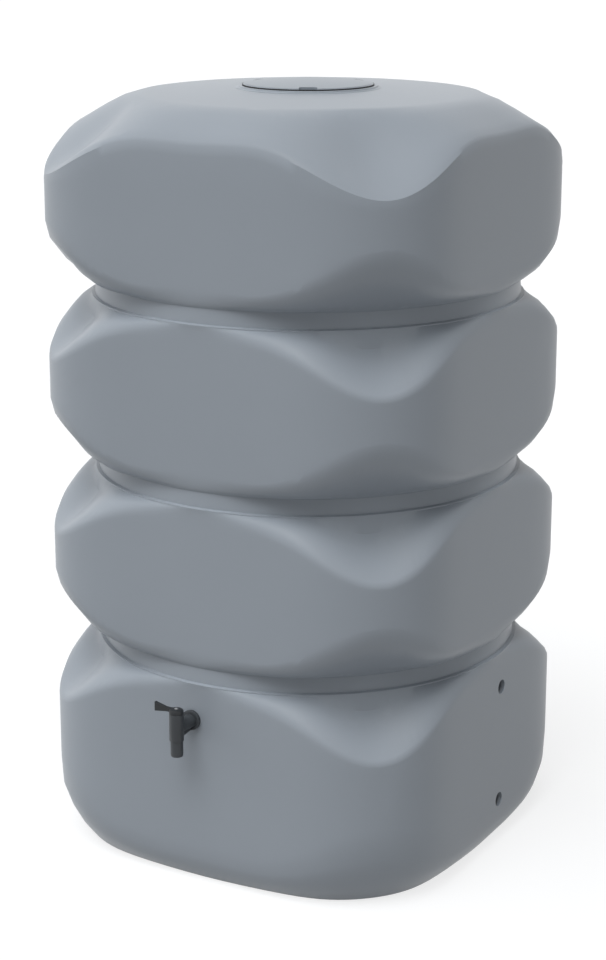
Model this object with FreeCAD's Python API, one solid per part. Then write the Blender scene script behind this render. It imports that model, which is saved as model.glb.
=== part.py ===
import FreeCAD
import Part
import math
import os

# Rainwater tank of about 650 litres, in millimetres. The origin is the middle of the foot, on the
# floor. Z points up, -Y is the face with the tap and +X is the face with the two spare ports.

# Tank shell: four stacked tiers of rounded-square plan around a round core
half_width = 390.0
corner_reach = 475.0        # axis to a rounded corner
wall = 5.0
tier_count = 4
tier_pitch = 320.0
first_ledge = 380.0
top_edge = 1371.0           # height of the edge of the domed top

neck_inset = 6.5            # neck between two tiers, from the plane of the faces
rim_stand = 8.0             # thin rim on each ledge, from the neck
core_radius = half_width - neck_inset
rim_radius = core_radius + rim_stand
rim_height = 3.0            # ledge down to the top of the shoulder under it
neck_height = 30.0          # ledge to the lower edge of the tier above

# Each wavy crease has one height at the middle of a face and another at a corner
shoulder_drop = (31.0, 99.0)
underside_rise = (30.0, 108.0)
top_drop = (55.0, 127.0)
foot_rise = (52.0, 116.0)
wave_start = 18.0           # polar angle from the middle of a face at which a crease leaves the level

# How the profile at a corner takes over from the one at the middle of a face: the polar angle
# where it starts, and a power that holds it back until nearer the corner
under_fold = (18.0, 3.0)
shoulder_fold = (15.0, 1.6)
crown_fold = (15.0, 2.0)

foot_circle = 316.5
foot_squareness = 0.495
top_radius = 309.0
dome_radius = 136.0
dome_rise = 10.0

# Filler opening and lid
mouth_radius = 100.0
collar_radius = 124.0
collar_height = 7.0
lid_recess_radius = 117.6
lid_radius = 116.4
lid_rim = 8.0
lid_dome = 7.0
lid_wall = 3.0
lid_skirt = 18.0
lid_seal_thickness = 2.0
grip_count = 3
grip_width = 32.0
grip_depth = 17.0
grip_bearing = -60.5        # bearing of the first grip, towards the near corner

# Threaded bushes moulded into the wall: one for the tap, two spare and still closed inside
port_hole_radius = 13.5
thread_radius = 12.06
bush_radius = 17.0
bush_length = 18.0
boss_radius = 23.0
port_height = 310.0
drain_height = 88.0
port_offset = 31.0
tap_offset = -13.0
tap_height = 312.0
moulding_gap = 0.05

# Tap
flange_radius = 18.2
flange_thickness = 5.0
washer_thickness = 2.5
stub_radius = 12.0
stub_bore = 7.5
barrel_reach = 50.0         # wall to the axis of the barrel
barrel_radius = 12.9
barrel_low = 290.0
barrel_top = 340.0
nozzle_radius = 11.2
nozzle_low = 261.0
nozzle_bore = 8.0
plug_radius = 9.0
running_gap = 0.05
plug_low = 297.0
plug_high = 333.0
plug_bore = 6.3
stem_radius = 4.5
seal_section = 1.4
clip_thickness = 1.2
lever_length = 44.0
lever_top = 349.0
lever_gap = 0.4


def wave(angle, start=wave_start):
    """0 up to the start and 1 at a corner, for degrees from the middle of a face."""
    share = min(max((angle - start) / (45.0 - start), 0.0), 1.0)
    return share * share * (3.0 - 2.0 * share)


def on_curve(poles):
    """Points that a closed uniform cubic curve reaches beside each of its poles."""
    count = len(poles)
    return [(poles[i - 1] + poles[i] * 4.0 + poles[(i + 1) % count]) * (1.0 / 6.0) for i in range(count)]


def smooth_ring(points):
    """Closed cubic curve through the points: its poles are pulled out until it reaches them."""
    poles = list(points)
    for _ in range(25):
        reached = on_curve(poles)
        poles = [pole + point - near for pole, point, near in zip(poles, points, reached)]
    curve = Part.BSplineCurve()
    curve.buildFromPolesMultsKnots(poles, [1] * (len(poles) + 1), list(range(len(poles) + 1)), True, 3)
    return Part.Wire([curve.toShape()])


def plan_points(inset):
    """24 points round the rounded square, each with its bearing and radius."""
    flat = half_width - inset
    corner = (corner_reach - inset) / math.sqrt(2.0)
    shoulder = 255.0 / half_width * flat
    tip = (6.0 * corner - flat - shoulder) / 4.0
    eighth = [(flat, 0.0), (flat, 0.36 * flat), (flat, shoulder), (tip, tip)]
    quarter = eighth + [(y, x) for x, y in eighth[-2:0:-1]]
    poles = []
    for turn in range(4):
        cos, sin = round(math.cos(turn * math.pi / 2)), round(math.sin(turn * math.pi / 2))
        poles += [FreeCAD.Vector(x * cos - y * sin, x * sin + y * cos, 0) for x, y in quarter]
    return [(math.atan2(point.y, point.x), math.hypot(point.x, point.y)) for point in on_curve(poles)]


def mixed(pair, share):
    return pair[0] + share * (pair[1] - pair[0])


def section(circle, outward, start, crease, along, inset, fold=under_fold):
    """Closed section between a level circle (outward 0, at start) and the crease of a wall (outward 1).

    Outward and along are pairs, for the middle of a face and for a corner, and so is crease.
    """
    points = []
    for bearing, reach in plan_points(inset):
        angle = abs((math.degrees(bearing) + 45.0) % 90.0 - 45.0)
        share = wave(angle)
        hollow = wave(angle, fold[0]) ** fold[1]
        radius = circle - inset + mixed(outward, hollow) * (reach - circle + inset)
        height = start + mixed(along, hollow) * (mixed(crease, share) - start)
        points.append(FreeCAD.Vector(radius * math.cos(bearing), radius * math.sin(bearing), height))
    return smooth_ring(points)


def ring(radius, height, inset=0.0):
    return section(radius, (0.0, 0.0), height, (height, height), (0.0, 0.0), inset)


def lifted(pair, height):
    return (pair[0] + height, pair[1] + height)


# Profiles from a circle (0, 0) to the crease of a wall (1, 1), as (outward, along): first at the
# middle of a face, where they roll over, then at a corner, where shoulders are scooped hollow
foot_profile = (
    ((0.0, 0.0), (0.0, 0.0)),
    ((0.31, 0.02), (0.34, 0.04)),
    ((0.60, 0.28), (0.60, 0.28)),
    ((0.84, 0.57), (0.80, 0.54)),
    ((0.97, 0.92), (0.96, 0.86)),
    ((1.0, 1.45), (1.0, 1.30)))
underside_profile = (
    ((0.0, 0.0), (0.0, 0.0)),
    ((0.36, 0.10), (0.30, 0.17)),
    ((0.69, 0.33), (0.57, 0.41)),
    ((0.98, 0.74), (0.91, 0.75)),
    ((1.0, 1.05), (1.0, 1.03)))
shoulder_profile = (
    ((1.0, 1.08), (1.0, 1.06)),
    ((1.0, 0.92), (0.99, 1.0)),
    ((0.975, 0.72), (0.92, 0.93)),
    ((0.88, 0.50), (0.58, 0.72)),
    ((0.66, 0.26), (0.24, 0.48)),
    ((0.34, 0.09), (0.04, 0.30)),
    ((0.0, 0.0), (0.0, 0.0)))
crown_profile = (
    ((1.0, 1.30), (1.0, 1.08)),
    ((0.985, 0.98), (0.99, 1.0)),
    ((0.93, 0.84), (0.91, 0.925)),
    ((0.74, 0.63), (0.60, 0.69)),
    ((0.50, 0.37), (0.32, 0.38)),
    ((0.24, 0.13), (0.14, 0.14)),
    ((0.0, 0.0), (0.0, 0.0)))


def steps_for(profile, inset):
    """The inner skin is out of sight and does without the second and fifth step of a profile."""
    if not inset:
        return profile
    return [step for place, step in enumerate(profile) if place not in (1, 4) or step is profile[-1]]


def spread(profile, circle, start, crease, inset, fold=under_fold):
    """Sections of one profile."""
    return [section(circle, (face[0], corner[0]), start, crease, (face[1], corner[1]), inset, fold)
            for face, corner in steps_for(profile, inset)]


def foot_sections(crease, inset):
    """The foot is a square with very round corners, so its circle is blended part of the way out."""
    sections = []
    for face, corner in steps_for(foot_profile, inset):
        outward = tuple(mixed((foot_squareness, 1.0), step[0]) for step in (face, corner))
        sections.append(section(foot_circle, outward, inset, crease, (face[1], corner[1]), inset))
    return sections


def ledge_sections(ledge, inset):
    """Rim and neck above a tier."""
    profile = ((rim_radius, -0.8), (core_radius + 2.0, 0.8), (core_radius, neck_height - 2.5))
    if inset:
        profile = ((core_radius, -inset), (core_radius, neck_height))
    return [ring(radius, ledge + height, inset) for radius, height in profile]


def tank_skin(inset):
    """Whole outer skin, or the inner one where inset is the wall thickness."""
    sections = []
    for tier in range(tier_count):
        ledge = first_ledge + tier * tier_pitch
        if tier:
            floor = ledge - tier_pitch + neck_height + inset
            low_crease = lifted(underside_rise, floor)
            sections += spread(underside_profile, core_radius + 2.0, floor, low_crease, inset)
        else:
            low_crease = lifted(foot_rise, inset)
            sections += foot_sections(low_crease, inset)
        if tier == tier_count - 1:
            top, drop, circle, profile, fold = top_edge, top_drop, top_radius, crown_profile, crown_fold
        else:
            top, drop, circle, profile, fold = (ledge - rim_height, shoulder_drop, rim_radius,
                                                shoulder_profile, shoulder_fold)
        top -= inset
        high_crease = (top - drop[0], top - drop[1])
        for share in (1.0 / 3.0, 2.0 / 3.0):
            middle = (mixed((low_crease[0], high_crease[0]), share), mixed((low_crease[1], high_crease[1]), share))
            sections.append(section(circle, (1.0, 1.0), top, middle, (1.0, 1.0), inset))
        sections += spread(profile, circle, top, high_crease, inset, fold)
        if tier < tier_count - 1:
            sections += ledge_sections(ledge, inset)
    for share, rise in ((0.45, 0.62), (0.0, 1.0)):
        sections.append(ring(mixed((dome_radius, top_radius), share) + inset,
                             top_edge + rise * dome_rise - inset, inset))
    return Part.makeLoft(sections, True, True)


def tube(outer, inner, low, high):
    """Upright ring between two heights."""
    ring = Part.makeCylinder(outer, high - low, FreeCAD.Vector(0, 0, low))
    return ring.cut(Part.makeCylinder(inner, high - low, FreeCAD.Vector(0, 0, low)))


def turned(points):
    """Solid of revolution about Z from (radius, height) points."""
    wire = Part.makePolygon([FreeCAD.Vector(radius, 0, height) for radius, height in points + points[:1]])
    return Part.Face(wire).revolve(FreeCAD.Vector(0, 0, 0), FreeCAD.Vector(0, 0, 1), 360)


def on_wall(shape, face, offset, height):
    """Carry a shape made along +Z from a wall's outer surface (z = 0 there, outwards +Z) to its face."""
    placed = shape.copy()
    placed.rotate(FreeCAD.Vector(0, 0, 0), FreeCAD.Vector(0, 1, 0), 90)
    placed.translate(FreeCAD.Vector(half_width, offset, height))
    placed.rotate(FreeCAD.Vector(0, 0, 0), FreeCAD.Vector(0, 0, 1), {"right": 0, "front": -90}[face])
    return placed


fittings = {
    "tap": ("front", tap_offset, tap_height),
    "upper": ("right", port_offset, port_height),
    "lower": ("right", port_offset, drain_height),
}
seat_height = top_edge + dome_rise + collar_height - lid_rim - lid_seal_thickness
collar_top = top_edge + dome_rise + collar_height


def tank_body():
    """Blow-moulded shell with its filler collar and three bosses that hold the bushes."""
    shell = tank_skin(0.0).cut(tank_skin(wall))
    dome_top = top_edge + dome_rise
    collar = turned([
        (mouth_radius, seat_height), (mouth_radius, seat_height - 18.0), (mouth_radius + 4.0, seat_height - 18.0),
        (mouth_radius + 4.0, dome_top - 9.0), (collar_radius + 6.0, dome_top - 9.0),
        (collar_radius + 6.0, dome_top + 0.4), (collar_radius + 2.0, dome_top + 1.2),
        (collar_radius + 0.4, dome_top + 3.0), (collar_radius, collar_top - 1.2),
        (collar_radius - 1.2, collar_top), (lid_recess_radius + 0.8, collar_top),
        (lid_recess_radius, collar_top - 0.8), (lid_recess_radius, seat_height)])
    opening = Part.makeCylinder(collar_radius, 40.0, FreeCAD.Vector(0, 0, dome_top - 20.0))
    shell = shell.cut(opening).fuse(collar)
    pocket_floor = wall + bush_length + moulding_gap
    boss = Part.makeCylinder(boss_radius, pocket_floor + 4.0 - 1.0, FreeCAD.Vector(0, 0, -pocket_floor - 4.0))
    pocket = Part.makeCylinder(bush_radius + moulding_gap, bush_length + moulding_gap,
                               FreeCAD.Vector(0, 0, -pocket_floor))
    hole = Part.makeCylinder(port_hole_radius, wall + 2.0, FreeCAD.Vector(0, 0, -wall - 1.0))
    for place in fittings.values():
        shell = shell.fuse(on_wall(boss, *place))
    for place in fittings.values():
        shell = shell.cut(on_wall(pocket, *place)).cut(on_wall(hole, *place))
    drilled = Part.makeCylinder(thread_radius, 12.0, FreeCAD.Vector(0, 0, -pocket_floor - 8.0))
    shell = shell.cut(on_wall(drilled, *fittings["tap"]))
    return shell


def bush():
    """Threaded bush, its mouth towards +Z."""
    body = Part.makeCylinder(bush_radius, bush_length, FreeCAD.Vector(0, 0, -wall - bush_length))
    for height in (-wall - bush_length * 0.72, -wall - bush_length * 0.42):
        body = body.cut(tube(bush_radius + 1.0, bush_radius - 1.2, height - 1.5, height + 1.5))
    bore = Part.makeCylinder(thread_radius, bush_length, FreeCAD.Vector(0, 0, -wall - bush_length))
    lead = Part.makeCone(thread_radius, thread_radius + 1.2, 1.2, FreeCAD.Vector(0, 0, -wall - 1.2))
    return body.cut(bore).cut(lead)


def lid():
    """Domed screw lid with a skirt and three finger grips in its rim."""
    low = collar_top - lid_rim
    rise = lid_dome
    dome_sphere_radius = (lid_radius ** 2 + rise ** 2) / (2.0 * rise)
    cap = turned([(0, low), (lid_radius, low), (lid_radius, collar_top - 1.0),
                  (lid_radius - 1.0, collar_top), (0, collar_top)])
    dome = Part.makeSphere(dome_sphere_radius, FreeCAD.Vector(0, 0, collar_top + rise - dome_sphere_radius))
    dome = dome.common(Part.makeCylinder(lid_radius - 4.0, 30.0, FreeCAD.Vector(0, 0, collar_top - 1.0)))
    inside = Part.makeSphere(dome_sphere_radius - lid_wall,
                             FreeCAD.Vector(0, 0, collar_top + rise - dome_sphere_radius))
    skirt_radius = mouth_radius - 1.0
    inside = inside.common(Part.makeCylinder(skirt_radius - lid_wall, 40.0, FreeCAD.Vector(0, 0, low - 1.0)))
    skirt = tube(skirt_radius, skirt_radius - lid_wall, low - lid_skirt, low + 2.0)
    body = cap.fuse(dome).cut(inside).fuse(skirt)
    grip = Part.makeBox(grip_depth + 4.0, grip_width, lid_rim + 20.0,
                        FreeCAD.Vector(lid_radius - grip_depth, -grip_width / 2, low + 2.5))
    upright = [edge for edge in grip.Edges if abs(edge.tangentAt(edge.FirstParameter).z) > 0.9
               and edge.CenterOfMass.x < lid_radius]
    grip = grip.makeFillet(5.0, upright)
    for turn in range(grip_count):
        cutter = grip.copy()
        cutter.rotate(FreeCAD.Vector(0, 0, 0), FreeCAD.Vector(0, 0, 1), grip_bearing + turn * 360.0 / grip_count)
        body = body.cut(cutter)
    return body


def lid_seal():
    low = seat_height
    return tube(lid_radius - 2.4, mouth_radius + 1.0, low, low + lid_seal_thickness)


def barrel_place(shape):
    """Carry a shape made about Z to the axis of the tap's barrel."""
    placed = shape.copy()
    placed.translate(FreeCAD.Vector(tap_offset, -half_width - barrel_reach, 0))
    return placed


def tap_washer():
    ring = Part.makeCylinder(flange_radius - 0.7, washer_thickness)
    ring = ring.cut(Part.makeCylinder(stub_radius + 0.3, washer_thickness))
    return on_wall(ring, *fittings["tap"])


def tap_body():
    """Flanged stub, upright barrel and hose nozzle in one moulding."""
    stub = Part.makeCylinder(stub_radius, wall + bush_length - 1.0 + washer_thickness,
                             FreeCAD.Vector(0, 0, -wall - bush_length + 1.0))
    flange = Part.makeCylinder(flange_radius, flange_thickness, FreeCAD.Vector(0, 0, washer_thickness))
    flange = flange.makeFillet(1.2, [flange.Edges[0]])
    cone_start = washer_thickness + flange_thickness
    cone = Part.makeCone(12.5, 9.8, barrel_reach - cone_start - 4.0, FreeCAD.Vector(0, 0, cone_start))
    run = on_wall(stub.fuse([flange, cone]), *fittings["tap"])
    barrel = turned([(0, barrel_low), (nozzle_radius, barrel_low), (barrel_radius - 0.5, barrel_low),
                     (barrel_radius, barrel_low + 1.0), (barrel_radius, barrel_top - 0.8),
                     (barrel_radius - 0.8, barrel_top), (0, barrel_top)])
    nozzle = turned([(0, nozzle_low), (nozzle_radius - 1.0, nozzle_low), (nozzle_radius - 0.2, nozzle_low + 2.0),
                     (nozzle_radius, nozzle_low + 4.0), (nozzle_radius, barrel_low), (0, barrel_low)])
    gusset = Part.Face(Part.makePolygon([
        FreeCAD.Vector(0, -2.2, -9.0), FreeCAD.Vector(0, -2.2, -17.0),
        FreeCAD.Vector(30.0, -2.2, -20.5), FreeCAD.Vector(32.0, -2.2, -5.0),
        FreeCAD.Vector(0, -2.2, -9.0)])).extrude(FreeCAD.Vector(0, 4.4, 0))
    gusset.translate(FreeCAD.Vector(half_width + cone_start - 1.0, tap_offset, tap_height))
    gusset.rotate(FreeCAD.Vector(0, 0, 0), FreeCAD.Vector(0, 0, 1), -90)
    body = run.fuse([barrel_place(barrel), barrel_place(nozzle), gusset])
    inlet = Part.makeCylinder(stub_bore, wall + bush_length + barrel_reach, FreeCAD.Vector(0, 0, -wall - bush_length))
    body = body.cut(on_wall(inlet, *fittings["tap"]))
    chamber = turned([
        (0, nozzle_low), (nozzle_bore, nozzle_low), (nozzle_bore, plug_low - 1.0),
        (plug_radius + running_gap, plug_low - 1.0), (plug_radius + running_gap, plug_high + 0.2),
        (plug_radius + 0.8, plug_high + 0.2), (plug_radius + 0.8, plug_high + 0.3 + clip_thickness),
        (plug_radius + running_gap, plug_high + 0.3 + clip_thickness), (plug_radius + running_gap, barrel_top),
        (0, barrel_top)])
    return body.cut(barrel_place(chamber))


seal_heights = (plug_low + 3.5, plug_high - 3.5)


def tap_plug():
    """Hollow plug with a side window; a quarter turn brings the window to the inlet."""
    plug = turned([
        (plug_bore, plug_low), (plug_radius, plug_low), (plug_radius, plug_high), (stem_radius, plug_high),
        (stem_radius, lever_top - 3.0), (0, lever_top - 3.0), (0, tap_height + 10.0), (plug_bore, tap_height + 8.0)])
    for height in seal_heights:
        plug = plug.cut(tube(plug_radius + 1.0, plug_radius - 1.6, height - 1.5, height + 1.5))
    window = Part.makeCylinder(stub_bore - 1.0, plug_radius + 2.0, FreeCAD.Vector(0, 0, tap_height),
                               FreeCAD.Vector(1, 0, 0))
    plug = plug.cut(window)
    flat = Part.makeBox(10.0, 10.0, 9.0, FreeCAD.Vector(3.4, -5.0, barrel_top + 1.0))
    for turn in range(2):
        cutter = flat.copy()
        cutter.rotate(FreeCAD.Vector(0, 0, 0), FreeCAD.Vector(0, 0, 1), turn * 180.0)
        plug = plug.cut(cutter)
    pilot = Part.makeCylinder(1.5, 9.0, FreeCAD.Vector(0, 0, lever_top - 12.0))
    return barrel_place(plug.cut(pilot))


def plug_seal(height):
    ring = Part.makeTorus(plug_radius - 1.6 + seal_section, seal_section, FreeCAD.Vector(0, 0, height))
    bore = Part.makeCylinder(plug_radius + running_gap - 0.02, 6.0, FreeCAD.Vector(0, 0, height - 3.0))
    return barrel_place(ring.common(bore))


def plug_clip():
    """Snap ring that keeps the plug in the barrel, its ends towards the nozzle side."""
    low = plug_high + 0.25
    ring = tube(plug_radius + 0.7, stem_radius + 1.0, low, low + clip_thickness - 0.1)
    gap = Part.makeBox(6.0, 5.0, 4.0, FreeCAD.Vector(stem_radius, -2.5, low - 1.0))
    return barrel_place(ring.cut(gap))


def tap_lever():
    """Round cap with a flat blade that flares towards its tip."""
    low = barrel_top + lever_gap
    cap = turned([(0, low), (barrel_radius, low), (barrel_radius, lever_top - 4.5),
                  (barrel_radius - 1.2, lever_top - 2.2), (barrel_radius - 4.0, lever_top - 0.6),
                  (barrel_radius - 7.5, lever_top), (0, lever_top)])
    middle = (low + lever_top) / 2.0
    blade = Part.Face(Part.makePolygon([
        FreeCAD.Vector(-6.0, -2.6, low + 0.6), FreeCAD.Vector(-lever_length * 0.45, -2.6, low + 0.6),
        FreeCAD.Vector(-lever_length, -2.6, middle - 7.0), FreeCAD.Vector(-lever_length, -2.6, middle + 10.0),
        FreeCAD.Vector(-lever_length * 0.45, -2.6, lever_top - 0.4),
        FreeCAD.Vector(-6.0, -2.6, lever_top - 0.4), FreeCAD.Vector(-6.0, -2.6, low + 0.6)]))
    blade = blade.extrude(FreeCAD.Vector(0, 5.2, 0))
    tip = [edge for edge in blade.Edges if edge.CenterOfMass.x < -lever_length + 0.1]
    blade = blade.makeFillet(1.2, tip)
    socket = Part.makeCylinder(stem_radius + 0.05, 20.0, FreeCAD.Vector(0, 0, low - 1.0))
    for side in (1.0, -1.0):
        key = Part.makeBox(4.0, 12.0, 20.0, FreeCAD.Vector(3.45 if side > 0 else -7.45, -6.0, low + 1.0))
        socket = socket.cut(key)
    socket = socket.cut(Part.makeCylinder(20.0, 20.0, FreeCAD.Vector(0, 0, lever_top - 2.9)))
    screw_hole = Part.makeCylinder(1.8, 20.0, FreeCAD.Vector(0, 0, low))
    head_recess = Part.makeCylinder(3.6, 5.0, FreeCAD.Vector(0, 0, lever_top - 1.4))
    return barrel_place(cap.fuse(blade).cut(socket).cut(screw_hole).cut(head_recess))


def lever_screw():
    head = turned([(0, lever_top - 1.4), (3.4, lever_top - 1.4), (3.4, lever_top - 0.4),
                   (2.6, lever_top + 0.6), (0, lever_top + 0.8)])
    shank = Part.makeCylinder(1.45, 9.0, FreeCAD.Vector(0, 0, lever_top - 10.4))
    slot = Part.makeBox(5.2, 0.8, 1.2, FreeCAD.Vector(-2.6, -0.4, lever_top - 0.2))
    return barrel_place(head.fuse(shank).cut(slot))


parts = {
    "tank_body": tank_body(),
    "tap_bush": on_wall(bush(), *fittings["tap"]),
    "port_bush_upper": on_wall(bush(), *fittings["upper"]),
    "port_bush_lower": on_wall(bush(), *fittings["lower"]),
    "lid": lid(),
    "lid_seal": lid_seal(),
    "tap_washer": tap_washer(),
    "tap_body": tap_body(),
    "tap_plug": tap_plug(),
    "plug_seal_lower": plug_seal(seal_heights[0]),
    "plug_seal_upper": plug_seal(seal_heights[1]),
    "plug_clip": plug_clip(),
    "tap_lever": tap_lever(),
    "lever_screw": lever_screw(),
}

os.makedirs("parts", exist_ok=True)
for name, shape in parts.items():
    shape.exportStep("parts/" + name + ".step")
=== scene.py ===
import math

import bpy
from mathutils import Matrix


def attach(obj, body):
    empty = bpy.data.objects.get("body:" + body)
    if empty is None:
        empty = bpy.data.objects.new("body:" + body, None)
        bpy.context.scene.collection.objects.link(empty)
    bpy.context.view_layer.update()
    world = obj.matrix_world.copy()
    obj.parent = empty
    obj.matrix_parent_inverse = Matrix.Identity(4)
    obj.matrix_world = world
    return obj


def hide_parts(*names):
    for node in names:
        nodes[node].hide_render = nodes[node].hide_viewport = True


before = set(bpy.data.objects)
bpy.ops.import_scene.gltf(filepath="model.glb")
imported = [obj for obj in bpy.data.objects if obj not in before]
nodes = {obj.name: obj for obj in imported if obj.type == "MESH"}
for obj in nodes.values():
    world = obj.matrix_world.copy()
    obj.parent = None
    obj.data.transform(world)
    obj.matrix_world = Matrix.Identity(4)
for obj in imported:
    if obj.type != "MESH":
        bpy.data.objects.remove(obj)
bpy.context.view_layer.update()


# Tank shell: one hollow moulding of grey polyethylene, satin from the mould, with
# no seams that stand out. The solid is shown as a merged copy, so that its many
# strips shade as the one skin that they are.
class Socket:
    """A shader socket that takes part in Python sums."""

    def __init__(self, tree, socket):
        self.tree = tree
        self.socket = socket

    def math(self, operation, a, b):
        return self.tree.add("ShaderNodeMath", {"operation": operation}, {0: a, 1: b})

    def __add__(self, other):
        return self.math("ADD", self, other)

    def __mul__(self, other):
        return self.math("MULTIPLY", self, other)

    __radd__ = __add__
    __rmul__ = __mul__


class Finish:
    """A material whose nodes are added one call at a time."""

    def __init__(self, name):
        self.material = bpy.data.materials.new(name)
        self.material.use_nodes = True
        self.nodes = self.material.node_tree.nodes
        self.links = self.material.node_tree.links
        self.nodes.clear()

    def add(self, kind, settings=None, values=None, output=0):
        node = self.nodes.new(kind)
        for key, value in (settings or {}).items():
            setattr(node, key, value)
        for key, value in (values or {}).items():
            if isinstance(value, Socket):
                self.links.new(value.socket, node.inputs[key])
            else:
                node.inputs[key].default_value = value
        return Socket(self, node.outputs[output])

    def place(self, scale=(1, 1, 1)):
        position = self.add("ShaderNodeTexCoord", output="Object")
        return self.add("ShaderNodeMapping", values={"Vector": position, "Scale": scale})

    def noise(self, place, scale, detail=2.0, roughness=0.5):
        return self.add("ShaderNodeTexNoise", values={
            "Vector": place, "Scale": scale, "Detail": detail, "Roughness": roughness})

    def blend(self, mask, first, second):
        node = self.nodes.new("ShaderNodeMix")
        node.data_type = "RGBA"
        for index, value in ((6, first), (7, second)):
            if isinstance(value, Socket):
                self.links.new(value.socket, node.inputs[index])
            else:
                node.inputs[index].default_value = (*value, 1)
        self.links.new(mask.socket, node.inputs[0])
        return Socket(self, node.outputs[2])

    def bump(self, height, strength, distance):
        return self.add("ShaderNodeBump", values={
            "Height": height, "Strength": strength, "Distance": distance})

    def finish(self, **values):
        surface = self.add("ShaderNodeBsdfPrincipled", values={
            key.replace("_", " "): value for key, value in values.items()})
        output = self.nodes.new("ShaderNodeOutputMaterial")
        self.links.new(surface.socket, output.inputs["Surface"])
        return self.material


def linear(red, green, blue):
    """Scene colour of a colour picked on a screen, 0 to 255."""
    return tuple((value / 255 / 12.92 if value <= 10 else ((value / 255 + 0.055) / 1.055) ** 2.4)
                 for value in (red, green, blue))


def moulded_plastic(name, colour, darker, grain, roughness):
    """Satin moulded plastic: faint clouding, fine grain and a shallow orange peel."""
    finish = Finish(name)
    place = finish.place()
    cloud = finish.noise(place, 3.2, 3.0)
    speck = finish.noise(place, 240.0, 2.0, 0.6)
    colour = finish.blend(cloud * 0.95 + speck * 0.05, darker, colour)
    peel = finish.noise(place, grain, 2.0, 0.55)
    return finish.finish(
        Base_Color=colour,
        Roughness=cloud * 0.06 + speck * 0.01 + (roughness - 0.035),
        Specular_IOR_Level=0.3,
        Normal=finish.bump(peel, 0.03, 0.0006))


def deselect():
    if bpy.context.object and bpy.context.object.mode != "OBJECT":
        bpy.ops.object.mode_set(mode="OBJECT")
    bpy.ops.object.select_all(action="DESELECT")


soft_edge = math.radians(34)    # edges that turn less than this are shaded round
merge_distance = 0.00001


def merged_copy(node, name, body, material):
    """The node's own form with its loose triangles merged and its soft edges shaded round."""
    deselect()
    source = nodes[node]
    piece = bpy.data.objects.new(name, source.data.copy())
    bpy.context.scene.collection.objects.link(piece)
    piece.select_set(True)
    bpy.context.view_layer.objects.active = piece
    bpy.ops.object.mode_set(mode="EDIT")
    bpy.ops.mesh.select_all(action="SELECT")
    bpy.ops.mesh.remove_doubles(threshold=merge_distance)
    bpy.ops.object.mode_set(mode="OBJECT")
    if piece.data.has_custom_normals:
        bpy.ops.mesh.customdata_custom_splitnormals_clear()
    bpy.ops.object.shade_smooth_by_angle(angle=soft_edge)
    piece.data.materials.clear()
    piece.data.materials.append(material)
    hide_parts(node)
    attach(piece, body)
    return piece


tank_plastic = moulded_plastic(
    "tank_plastic", linear(160, 166, 173), linear(154, 160, 167), 90.0, 0.36)
tank_shell = merged_copy("tank_body", "tank_shell", "tank", tank_plastic)
collar_inside, collar_outside, collar_foot = 0.117, 0.1265, 1.3822
collar_share = 0.45     # the collar's lip is rolled down to this share, below the lid's rim
for vertex in tank_shell.data.vertices:
    reach = math.hypot(vertex.co.x, vertex.co.y)
    if collar_inside < reach < collar_outside and vertex.co.z > collar_foot:
        vertex.co.z = collar_foot + (vertex.co.z - collar_foot) * collar_share


# Lid: injection-moulded in the same grey, slightly domed, screwed into the collar
# and turned by three finger grips.
lid_plastic = moulded_plastic(
    "lid_plastic", linear(156, 162, 169), linear(150, 156, 163), 140.0, 0.36)
merged_copy("lid", "lid_cap", "lid", lid_plastic)


# Seal: one black rubber ring, flat under the lid's rim. The thin black lip turned up round the rim
# is
# painted shade: a dark ring set in the gap to stand in for the shadow between the lid and the
# collar.
rubber = Finish("seal_rubber")
rubber_place = rubber.place()
rubber_grain = rubber.noise(rubber_place, 900.0, 3.0, 0.6)
seal_rubber = rubber.finish(
    Base_Color=rubber.blend(rubber_grain, (0.012, 0.012, 0.013), (0.022, 0.022, 0.023)),
    Roughness=rubber_grain * 0.15 + 0.62,
    Normal=rubber.bump(rubber_grain, 0.25, 0.0002))


# Painted shade: the black lip torus added below stands in for the shadowed gap under the lid's rim.
shade_lip_radius, shade_lip_thickness, shade_lip_middle, shade_lip_height = 0.117, 0.0008, 1.3836, 0.0072
lid_gasket_and_shade_lip = merged_copy("lid_seal", "lid_gasket_and_shade_lip", "lid", seal_rubber)
bpy.ops.object.mode_set(mode="EDIT")
bpy.ops.mesh.select_all(action="DESELECT")
bpy.ops.mesh.primitive_torus_add(
    location=(0, 0, shade_lip_middle), major_radius=shade_lip_radius, minor_radius=shade_lip_thickness / 2,
    major_segments=96, minor_segments=8)
bpy.ops.transform.resize(
    value=(1, 1, shade_lip_height / shade_lip_thickness), center_override=(0, 0, shade_lip_middle))
bpy.ops.object.mode_set(mode="OBJECT")
for face in lid_gasket_and_shade_lip.data.polygons:
    face.material_index = 0
while len(lid_gasket_and_shade_lip.data.materials) > 1:
    lid_gasket_and_shade_lip.data.materials.pop()


# Threaded bushes: grey polypropylene, moulded into bosses behind the wall, one for
# the tap and two spare.
def refinish(node, material):
    """A node whose own mesh is right gets its real finish."""
    nodes[node].data.materials.clear()
    nodes[node].data.materials.append(material)


bush_plastic = moulded_plastic(
    "bush_plastic", linear(132, 136, 140), linear(122, 126, 130), 300.0, 0.5)
for bush in ("tap_bush", "port_bush_upper", "port_bush_lower"):
    refinish(bush, bush_plastic)


# Tap: dark grey acetal body screwed into its bush against a rubber washer, with a
# hose nozzle under the barrel.
tap_plastic = moulded_plastic("tap_plastic", linear(70, 73, 76), linear(62, 65, 68), 420.0, 0.36)
merged_copy("tap_body", "tap_housing", "tank", tap_plastic)
refinish("tap_washer", seal_rubber)


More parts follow.
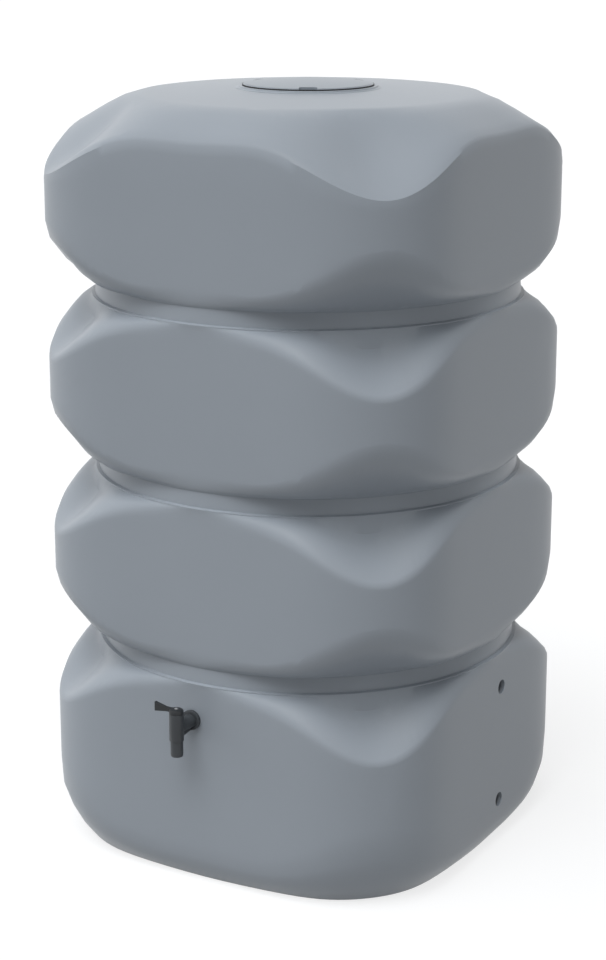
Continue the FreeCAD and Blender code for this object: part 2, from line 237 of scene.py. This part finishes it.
# Plug and lever: the off-white plug turns in the barrel on two ring seals, held by
# a snap ring; the black lever is keyed on its stem and held by a screw.
plug_plastic = moulded_plastic(
    "plug_plastic", linear(214, 214, 210), linear(204, 204, 200), 420.0, 0.35)
merged_copy("tap_plug", "plug", "tap_turn", plug_plastic)
for seal in ("plug_seal_lower", "plug_seal_upper"):
    refinish(seal, seal_rubber)

lever_plastic = moulded_plastic("lever_plastic", linear(46, 48, 50), linear(40, 42, 44), 420.0, 0.34)
merged_copy("tap_lever", "lever", "tap_turn", lever_plastic)

steel = Finish("stainless_steel")
steel_place = steel.place((1, 1, 30))
steel_grain = steel.noise(steel_place, 400.0, 2.0)
stainless = steel.finish(
    Base_Color=steel.blend(steel_grain, (0.50, 0.50, 0.51), (0.62, 0.62, 0.63)),
    Metallic=1.0,
    Roughness=steel_grain * 0.12 + 0.28,
    Normal=steel.bump(steel_grain, 0.12, 0.0001))
refinish("plug_clip", stainless)
refinish("lever_screw", stainless)


# Floor and daylight: a white floor that runs on as the background, and a sky whose main
# glow stands high in front on the left, with a low broad one behind on the left and
# three weak ones. The floor is darker to the object's light than to the eye.
def seen_by_eye(finish):
    """1 for what the camera, glass and gloss see."""
    kinds = [finish.add("ShaderNodeLightPath", output=name)
             for name in ("Is Camera Ray", "Is Transmission Ray", "Is Glossy Ray")]
    return kinds[0] + kinds[1] + kinds[2]


floor_size = 60
bpy.ops.mesh.primitive_plane_add(size=floor_size, location=(0, 0, 0))
floor = bpy.context.object
floor.name = "floor"
pale = Finish("pale_floor")
floor_matt = pale.add("ShaderNodeBsdfDiffuse", values={"Color": (0.30, 0.30, 0.30, 1)})
floor_bounce = pale.add("ShaderNodeEmission", values={"Color": (1, 1, 1, 1), "Strength": 0.13})
floor_glow = pale.add("ShaderNodeEmission", values={"Color": (1, 1, 1, 1), "Strength": 0.76})
floor_light = pale.add("ShaderNodeMixShader", values={
    0: seen_by_eye(pale), 1: floor_bounce, 2: floor_glow})
floor_mix = pale.add("ShaderNodeAddShader", values={0: floor_matt, 1: floor_light})
pale.links.new(floor_mix.socket, pale.nodes.new("ShaderNodeOutputMaterial").inputs["Surface"])
floor.data.materials.append(pale.material)


class Sky(Finish):
    """The world's node tree, built the same way as a finish."""

    def __init__(self, name):
        self.world = bpy.data.worlds.new(name)
        self.world.use_nodes = True
        self.nodes = self.world.node_tree.nodes
        self.links = self.world.node_tree.links
        self.nodes.clear()
        self.direction = self.add("ShaderNodeTexCoord", output="Generated")

    def glow(self, azimuth, height, spread, strength):
        """Light from round one direction, given in degrees; a high spread number is narrow."""
        around, up = math.radians(azimuth), math.radians(height)
        toward = (math.cos(up) * math.cos(around), math.cos(up) * math.sin(around), math.sin(up))
        facing = self.add("ShaderNodeVectorMath", {"operation": "DOT_PRODUCT"}, {
            0: self.direction, 1: toward}, output="Value")
        facing = facing.math("MAXIMUM", facing, 0.0)
        return facing.math("POWER", facing, spread) * strength


sky = Sky("sky")
bpy.context.scene.world = sky.world
daylight = (sky.glow(-90.3, 64, 18, 8.2)
            + sky.glow(-10.3, 26, 8, 0.6)
            + sky.glow(-150.3, 32, 8, 0.4)
            + sky.glow(-180.3, 4, 5, 2.2)
            + sky.glow(119.7, 4, 5, 0.1))
sky_light = sky.add("ShaderNodeBackground", values={
    "Color": (0.94, 0.97, 1.0, 1), "Strength": daylight})
sky_seen = sky.add("ShaderNodeBackground", values={"Color": (1, 1, 1, 1), "Strength": 1.0})
sky_mix = sky.add("ShaderNodeMixShader", values={
    0: seen_by_eye(sky), 1: sky_light, 2: sky_seen})
sky.links.new(sky_mix.socket, sky.nodes.new("ShaderNodeOutputWorld").inputs["Surface"])


# Camera at the photograph's place: standing height, a long lens, looking down.
camera = bpy.data.objects.new("camera", bpy.data.cameras.new("camera"))
bpy.context.scene.collection.objects.link(camera)
look_down, turned = 15.389, 29.691    # degrees
camera.location = (1.9708, -3.4752, 1.7566)
camera.rotation_euler = (math.radians(90 - look_down), 0, math.radians(turned))
camera.data.lens = 83.45
camera.data.sensor_width = 36.0
bpy.context.scene.camera = camera
bpy.context.scene.view_settings.view_transform = "Standard"
